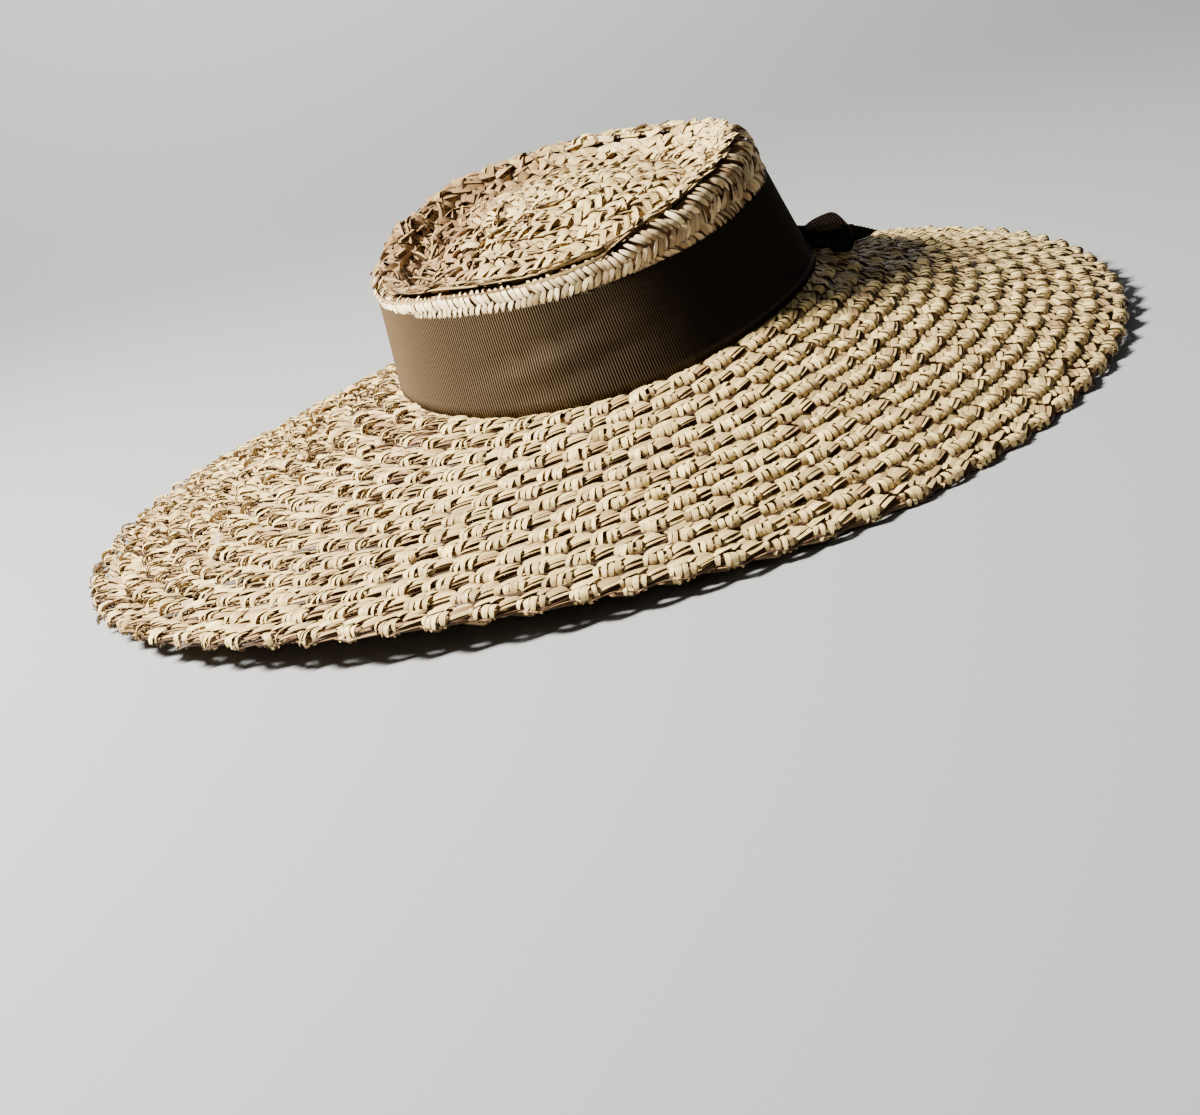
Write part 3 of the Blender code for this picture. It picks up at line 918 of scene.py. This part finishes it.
def braidRow(row, side):
    braid = sideBraid
    count = round(braid["round"] / braid["pitch"])
    angle = (np.arange(count) + 0.5 * (row % 2)) * 2 * math.pi / count
    low, high = wallLevels(angle)
    rim = easedTable(hat["rim"], np.degrees(angle), 360.0)
    tallFrom, tallOver, larger = braid["tall"]
    tall = np.clip((rim - high - tallFrom) / tallOver, 0, 1)
    size = 1 + larger * tall * tall * (3 - 2 * tall)

    def stray(key):
        least, more = braid[key]
        return chance.normal(0, least + more * tall, count)

    middle = (braid["firstRow"] + 2 * braid["halfDepth"] * row) * size + stray("middleJitter")
    time = pathTimes[None]
    start = middle - braid["halfDepth"] * size * 1.06 if side == "upper" else middle - 0.3
    end = middle + 0.3 if side == "upper" else middle + braid["halfDepth"] * size * 1.06
    start = start + stray("startJitter")
    end = end + stray("endJitter")
    lean = braid["lean"] * size + stray("leanJitter")
    along = lean[:, None] * (time if side == "upper" else 1 - time)
    drop = np.maximum(start[:, None] + (end - start)[:, None] * time, 0.1)
    lowest = (rim - high + braid["underRibbon"])[:, None]
    keep = start < lowest[:, 0] - 1.2
    pathAngle = angle[:, None] + along * 2 * math.pi / braid["round"]
    here, normal = skinFrame(sideSkin, pathAngle, np.minimum(drop, lowest), outStep=0.1)
    lift = braid["lift"] + braid["arch"] * np.sin(np.pi * np.clip(time, 0.05, 0.95)) ** 0.8
    lift = lift * np.clip((lowest - drop) / 2.0, 0.15, 1.0)
    widths = np.array((0.35, 0.8, 1.0, 1.0, 0.75, 0.35)) * braid["width"]
    tone = braid["tone"] + stray("toneJitter")
    # painted shade on the side away from the light
    for turn, spread, darker in braid["shadeAndRust"]:
        tone = tone - darker * np.exp(-(((np.degrees(angle) - turn + 180) % 360 - 180) / spread) ** 2)
    made = {
        "path": here + normal * lift[..., None],
        "up": normal,
        "width": np.broadcast_to(widths, drop.shape) * size[:, None],
        "thick": np.full(drop.shape, braid["thick"]),
        "tone": np.clip(tone, 0, 1),
        "stain": chance.uniform(0, 1, count),
        "roll": stray("rollJitter"),
    }
    return {key: value[keep] for key, value in made.items()}


braids = []
for row in range(sideBraid["rows"]):
    for side in ("lower", "upper"):
        braids.append(braidRow(row, side))
layStraws("side_plait", braids, sideStraw, "crown_side")

# the wall's lining: up the outside, over the rim and down inside
low, high = wallLevels(ringAngles)
wallDrop = easedTable(hat["rim"], np.degrees(ringAngles), 360.0) - low
rings = [wallPoint(ringAngles, -0.08, 0.6), wallPoint(ringAngles, 0.5, 0.15), wallPoint(ringAngles, 1.0, 0.3)]
for drop in (4.5, 1.6, 0.0):
    clear = np.minimum(drop, np.maximum((wallDrop - (high - low)) * 0.8, 0))
    inset = 1.1 + np.interp(drop, [row[0] for row in rimRound], [row[1] for row in rimRound])
    rings.append(rimPoint(ringAngles, clear + 0.9, inset))
rings.append(rimPoint(ringAngles, 1.6, 5.0))
rings.append(rimPoint(ringAngles, 3.4, 5.9))
rings.append(rimPoint(ringAngles, 9.0, 4.0))
rings += [wallPoint(ringAngles, 0.5, 2.4), wallPoint(ringAngles, -0.08, 2.4)]
layRings("side_lining", rings, shadedLining, "crown_side")
print("crown side ready")

# ribbon
ribbon = {
    "ribs": 510,
    "perRib": 4,
    "ribDepth": 0.5,
    "rows": 11,
    "proud": 1.4,
    "waist": 0.2,
    "inside": 0.35,
    "foot": 0.02,
    "edgeRow": 0.985,
    "closest": 0.5,  # the wrinkles come no nearer to the wall
    "flecks": 30.0,  # across the ribbon
    # painted light where the key light reaches and painted shade on the far side: angle in degrees, how much
    # painted light
    "paintedLight": ((-180, 0.6), (-120, 0.9), (-60, 0.9), (-15, 1.0),
              (10, 0.5), (38, 0.09), (75, 0.05), (120, 0.2)),
    # wrinkles: angle in degrees, share up the ribbon, lean, length, width, height
    "wrinkles": (
        (-6, 0.6, 90.0, 0.17, 6.0, -0.95),
        (-4, 0.42, 100.0, 0.14, 8.0, 0.7),
        (-2, 0.28, 110.0, 0.14, 6.5, -0.9),
        (34, 0.6, 18.0, 0.4, 3.8, 0.2),
    ),
}


def makeRibbonCloth(name, finish):
    material = bpy.data.materials.new(name)
    tree, shader = nodeTree(material)
    weave = useGroup(tree, ribWeave)
    # the dark valleys between the ribs are painted shade, and the painted light share mixes the cloth over the
    # painted shade colour
    mixed = mixColours(tree, weave["Rib"], finish["valleyShade"], finish["ridge"])
    mixed = mixColours(tree, weave["Worn"], mixed, finish["worn"])
    mixed = mixColours(tree, weave["PaintedLight"], finish["shadedColour"], mixed)
    tree.links.new(mixed, shader.inputs["Base Color"])
    shader.inputs["Roughness"].default_value = finish["roughness"]
    shader.inputs["Sheen Weight"].default_value = finish["sheen"]
    shader.inputs["Metallic"].default_value = finish["metal"]
    shader.inputs["IOR"].default_value = finish["ior"]
    addBump(tree, shader, weave["Fine"], 0.5, 0.0002)
    return material


ribbonFinish = {
    "ridge": (0.125, 0.082, 0.041),
    "valleyShade": (0.004, 0.002, 0.001),
    "worn": (0.15, 0.102, 0.055),
    # colour of the painted shade where no painted light falls
    "shadedColour": (0.006, 0.003, 0.0015),
    "roughness": 0.41,
    "metal": 0.3,
    "ior": 1.3,
    "sheen": 0.0,
}
ribbonCloth = makeRibbonCloth("ribbonCloth", ribbonFinish)

columnCount = ribbon["ribs"] * ribbon["perRib"]
columnAngles = np.arange(columnCount) * 2 * math.pi / columnCount
ribTurn = columnAngles * ribbon["ribs"] / (2 * math.pi)
ridges = 0.5 + 0.5 * np.cos(2 * math.pi * ribTurn)
paintedLight = easedTable(ribbon["paintedLight"], np.degrees(columnAngles), 360.0)
rings, weave = [], []


def addRibbonRing(share, inset):
    rings.append(wallPoint(columnAngles, share, inset))
    weave.append(np.stack([ribTurn, np.full(columnCount, share * ribbon["flecks"]), paintedLight], -1))


shares = np.sort(np.append(np.linspace(ribbon["foot"], 1.0, ribbon["rows"]), ribbon["edgeRow"]))
for share in shares:
    out = ribbon["proud"] - ribbon["waist"] * math.sin(math.pi * share) + ribbon["ribDepth"] * (ridges - 0.5)
    for turn, up, lean, length, width, height in ribbon["wrinkles"]:
        reach = (share - up) / length
        away = (np.degrees(columnAngles) - turn + 180) % 360 - 180 - lean * (share - up)
        out = out + height * np.exp(-(away / width) ** 2 - reach ** 2)
    addRibbonRing(share, -np.maximum(out, ribbon["closest"]))
for share in (1.0, 0.5, ribbon["foot"]):
    addRibbonRing(share, -ribbon["inside"])
addVectors(layRings("ribbon_cloth", rings, ribbonCloth, "ribbon_band"), "weave", np.concatenate(weave))
print("ribbon ready")

# bow: strips of the same ribbon, flat on the brim
bow = {
    "floor": 2.1,  # up to here a strip lies on the straw, and puff moves what is higher
    "thick": 0.6,
    "ribPitch": 1.25,
    "perRib": 4,
    "ribDepth": 0.34,
    "columns": 17,
    # length from the root, height over the straw, width, how much painted light (lit top of the loop, lower
    # strip in painted shade)
    "loop": ((0.0, 1.4, 13.0, 0.0), (4.0, 0.8, 26.0, 0.0), (9.0, 0.8, 34.0, 0.0), (14.0, 1.6, 38.0, 0.0),
             (16.0, 6.0, 40.0, 0.05), (15.6, 11.0, 41.0, 0.7), (13.6, 12.6, 41.0, 1.0), (9.0, 11.4, 36.0, 1.0),
             (4.0, 9.4, 28.0, 1.0), (0.0, 7.0, 16.0, 0.6)),
    "tail": ((0.0, 0.9, 12.0, 0.0), (5.0, 1.2, 19.0, 0.0), (10.0, 2.0, 25.0, 0.05), (15.0, 3.8, 29.0, 0.1),
             (19.0, 6.4, 30.0, 0.25)),
    # piece, path, root across and along, heading in degrees, puff
    "strips": (
        ("bow_loop_right", "loop", 98.2, 31.4, 8.0, 1.0),
        ("bow_loop_left", "loop", 94.5, 56.5, 88.0, 0.4),
        ("bow_tail_right", "tail", 101.6, 46.6, 24.0, 1.0),
    ),
    "pinked": 0.9,
    "gather": 0.35,
    "gatherReach": 6.0,
    "gatherFolds": 3.0,
}


def strawTop(x, y):
    # the straw's height under a point of the bow, with the share of the way out found by halving
    low, high = np.zeros_like(x), np.ones_like(x)
    for _ in range(24):
        share = (low + high) / 2
        across = hat["crownAcross"] / 2 + (hat["brimAcross"] - hat["crownAcross"]) / 2 * share
        along = hat["crownLong"] / 2 + (hat["brimLong"] - hat["crownLong"]) / 2 * share
        reach = np.hypot((x - hat["crownSideways"] * (1 - share)) / across,
                         (y + hat["crownForwards"] * (1 - share)) / along)
        low = np.where(reach > 1, share, low)
        high = np.where(reach > 1, high, share)
    angle = np.arctan2((x - hat["crownSideways"] * (1 - share)) / across,
                       -(y + hat["crownForwards"] * (1 - share)) / along)
    return brimSkin(angle, share)[..., 2] + brimPlait["step"]


def smoothPath(rows, step):
    rows = np.array(rows, float)
    padded = np.vstack([2 * rows[0] - rows[1], rows, 2 * rows[-1] - rows[-2]])
    dense = []
    for before, one, two, after in zip(padded, padded[1:], padded[2:], padded[3:]):
        for t in np.linspace(0, 1, 24, endpoint=False):
            dense.append(0.5 * (2 * one + (two - before) * t + (2 * before - 5 * one + 4 * two - after) * t ** 2
                                + (3 * one - before - 3 * two + after) * t ** 3))
    dense = np.array(dense + [rows[-1]])
    run = np.concatenate([[0], np.cumsum(np.hypot(*np.diff(dense[:, :2], axis=0).T))])
    places = np.arange(0, run[-1], step)
    return np.stack([np.interp(places, run, dense[:, i]) for i in range(4)], -1), places


# paler ridges than the ribbon's: painted light on the bow, which lies in the crown's shadow
bowLitCloth = makeRibbonCloth("bowLitCloth", {
    **ribbonFinish, "ridge": (0.24, 0.15, 0.08), "valleyShade": (0.003, 0.0015, 0.001), "worn": (0.28, 0.18, 0.1),
    "metal": 0.0, "ior": 1.04, "roughness": 0.8})


def capQuads(rings, count):
    ids = np.arange(rings * count).reshape(rings, count)
    return np.array([(end[i], end[i + 1], end[count - 2 - i], end[count - 1 - i])
                     for end in (ids[0], ids[-1][::-1]) for i in range(count // 2 - 1)])


def layStrip(name, kind, rootX, rootY, heading, puff):
    path, run = smoothPath(bow[kind], bow["ribPitch"] / bow["perRib"])
    ahead = np.array((math.cos(math.radians(heading)), math.sin(math.radians(heading))))
    side = np.array((-ahead[1], ahead[0]))
    across = np.linspace(-0.5, 0.5, bow["columns"])
    plan = np.array((rootX, rootY)) + path[:, None, :1] * ahead + path[:, 2:3, None] * across[:, None] * side
    above = np.maximum(path[:, 1] - bow["floor"], 0.0)
    raised = path[:, 1] + above * (puff - 1)
    folds = 0.0
    if kind == "loop":
        near = np.exp(-path[:, 0] / bow["gatherReach"])
        folds = near[:, None] * bow["gather"] * np.cos(2 * math.pi * bow["gatherFolds"] * across)
    else:
        # pinked end
        teeth = bow["pinked"] * np.where(np.arange(bow["columns"]) % 2 == 0, 1.0, -1.0)
        plan[-1] += teeth[:, None] * ahead
    height = strawTop(plan[..., 0], plan[..., 1]) + raised[:, None] + folds
    sheet = np.concatenate([plan, height[..., None]], -1)
    down = np.gradient(sheet, axis=0)
    over = np.gradient(sheet, axis=1)
    normal = np.cross(down, over)
    normal /= np.maximum(np.linalg.norm(normal, axis=-1, keepdims=True), 1e-9)
    turn = run / bow["ribPitch"]
    ridge = bow["ribDepth"] * np.cos(2 * math.pi * turn) * 0.5
    top = sheet + normal * (bow["thick"] / 2 + ridge)[:, None, None]
    under = sheet - normal * (bow["thick"] / 2 - ridge * 0.5)[:, None, None]
    count = 2 * bow["columns"]
    ringPoints = np.concatenate([top, under[:, ::-1]], 1)
    quads = np.roll(ringQuads(len(path), count, closed=False)[:, ::-1], 1, axis=1)
    quads = np.concatenate([quads, capQuads(len(path), count)])
    piece = makePiece(name + "_cloth", ringPoints.reshape(-1, 3), quads, bowLitCloth)
    weave = np.zeros((len(path), count, 3))
    weave[..., 0] = turn[:, None]
    weave[..., 1] = np.concatenate([across, across[::-1]]) * path[:, 2:3]
    # painted light along the strip, from its table
    weave[..., 2] = np.clip(path[:, 3:], 0, 1)
    addVectors(piece, "weave", weave)
    settle(piece, name, name)


for strip in bow["strips"]:
    layStrip(*strip)

knot = {
    "turns": 40,
    "rows": 9,
    "round": 0.75,
    "ends": 0.45,  # how much smaller the ends are
    "heading": 30.0,
    "slope": 19.0,
    "size": (7.0, 10.0, 7.6),
    "ribs": 3,
}


def squareOff(circle):
    return np.sign(circle) * np.abs(circle) ** knot["round"]


lowest, highest = (np.array(corner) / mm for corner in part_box("bow_knot"))
knotCentre = (lowest + highest) / 2
rings, weave = [], []
turnsRound = np.arange(knot["turns"]) * 2 * math.pi / knot["turns"]
heading = Matrix.Rotation(math.radians(knot["heading"]), 3, "Z")
slope = Matrix.Rotation(math.radians(knot["slope"]), 3, "Y")
knotTurn = np.array((heading @ slope).transposed())
for row in range(knot["rows"]):
    across = row / (knot["rows"] - 1) * 2 - 1
    size = 1 - abs(across) ** 5 * knot["ends"]
    x = squareOff(np.cos(turnsRound)) * knot["size"][0] / 2 * size
    z = squareOff(np.sin(turnsRound)) * knot["size"][2] / 2 * size
    y = np.full(knot["turns"], across * knot["size"][1] / 2)
    rings.append(np.stack([x, y, z], -1) @ knotTurn + knotCentre)
    # the knot has no painted light, so it is painted shade all over
    weave.append(np.stack([turnsRound * knot["ribs"], y, np.zeros(knot["turns"])], -1))
quads = np.concatenate([ringQuads(knot["rows"], knot["turns"], closed=False),
                        capQuads(knot["rows"], knot["turns"])])
piece = makePiece("bow_knot_cloth", np.concatenate(rings), quads, bowLitCloth)
addVectors(piece, "weave", np.concatenate(weave))
settle(piece, "bow_knot", "bow_knot")
print("bow ready")

# camera
view = {
    "place": (0.15895, -0.86098, 0.23582),
    "right": (0.95513378, 0.10237734, -0.27791787),
    "up": (0.22668022, 0.35124095, 0.90843044),
    "back": (0.19061883, -0.93067109, 0.31227518),
    "lens": 66.0,
}
camera = bpy.data.objects.new("camera", bpy.data.cameras.new("camera"))
camera.data.sensor_width = 36.0
camera.data.lens = view["lens"]
camera.data.clip_start = 0.02
camera.data.clip_end = 40.0
columns = (view["right"], view["up"], view["back"], view["place"])
camera.matrix_world = Matrix([[column[row] for column in columns] for row in range(3)] + [[0, 0, 0, 1]])
bpy.context.scene.collection.objects.link(camera)
bpy.context.scene.camera = camera

# floor, backdrop and light
studio = {
    "floor": (0.264, 0.273, 0.291),
    "reach": 3.2,
    "bend": 0.7,
    "round": 1.5,
    "sky": (0.93, 0.91, 0.89),
    "skyStrength": 0.12,
    "keyAngle": -72.0,
    "keyHeight": 47.0,
    "keyDistance": 1.25,
    "keySize": 0.27,
    "keyPower": 108.0,
    "keyColour": (1.0, 0.96, 0.87),
    "keyAim": (0.01, 0.0, 0.05),
    "backPlace": (-0.5, 1.0, 1.9),
    "backAim": (-0.5, 2.0, 0.5),
    "backSize": 1.0,
    "backPower": 38.0,
    "backSpread": 90.0,
}
floorMaterial = bpy.data.materials.new("paleFloor")
tree, shader = nodeTree(floorMaterial)
haze = useGroup(tree, mottle, Fineness=2.0, Detail=2.0)["Mottle"]
floorColour = mixColours(tree, haze, studio["floor"], tuple(c * 0.97 for c in studio["floor"]))
tree.links.new(floorColour, shader.inputs["Base Color"])
shader.inputs["Roughness"].default_value = 0.9
# the floor runs back and bends up into the backdrop
profile = [(-studio["reach"], 0.0), (studio["bend"], 0.0)]
profile += [(studio["bend"] + studio["round"] * math.sin(a), studio["round"] * (1 - math.cos(a)))
            for a in np.linspace(0.05, math.pi / 2, 24)]
profile.append((studio["bend"] + studio["round"], studio["reach"]))
points = np.array([(x, y, z) for y, z in profile for x in (-studio["reach"], studio["reach"])]) / mm
quads = np.array([(2 * i, 2 * i + 1, 2 * i + 3, 2 * i + 2) for i in range(len(profile) - 1)])
makePiece("studio_floor", points, quads, floorMaterial)

world = bpy.data.worlds.new("studioSky")
bpy.context.scene.world = world
world.use_nodes = True
sky = world.node_tree.nodes["Background"]
sky.inputs[0].default_value = (*studio["sky"], 1.0)
sky.inputs[1].default_value = studio["skyStrength"]


def addLight(name, place, aim, size, power, colour, spread):
    lamp = bpy.data.lights.new(name, "AREA")
    lamp.size = size
    lamp.energy = power
    lamp.color = colour
    lamp.spread = math.radians(spread)
    light = bpy.data.objects.new(name, lamp)
    light.location = place
    light.rotation_mode = "QUATERNION"
    light.rotation_quaternion = (Vector(aim) - Vector(place)).to_track_quat("-Z", "Y")
    bpy.context.scene.collection.objects.link(light)


turn, rise = math.radians(studio["keyAngle"]), math.radians(studio["keyHeight"])
away = Vector((math.sin(turn) * math.cos(rise), -math.cos(turn) * math.cos(rise), math.sin(rise)))
addLight("windowLight", Vector(studio["keyAim"]) + away * studio["keyDistance"], studio["keyAim"],
         studio["keySize"], studio["keyPower"], studio["keyColour"], 180.0)
addLight("backdropLight", studio["backPlace"], studio["backAim"],
         studio["backSize"], studio["backPower"], studio["sky"], studio["backSpread"])
print("studio ready")
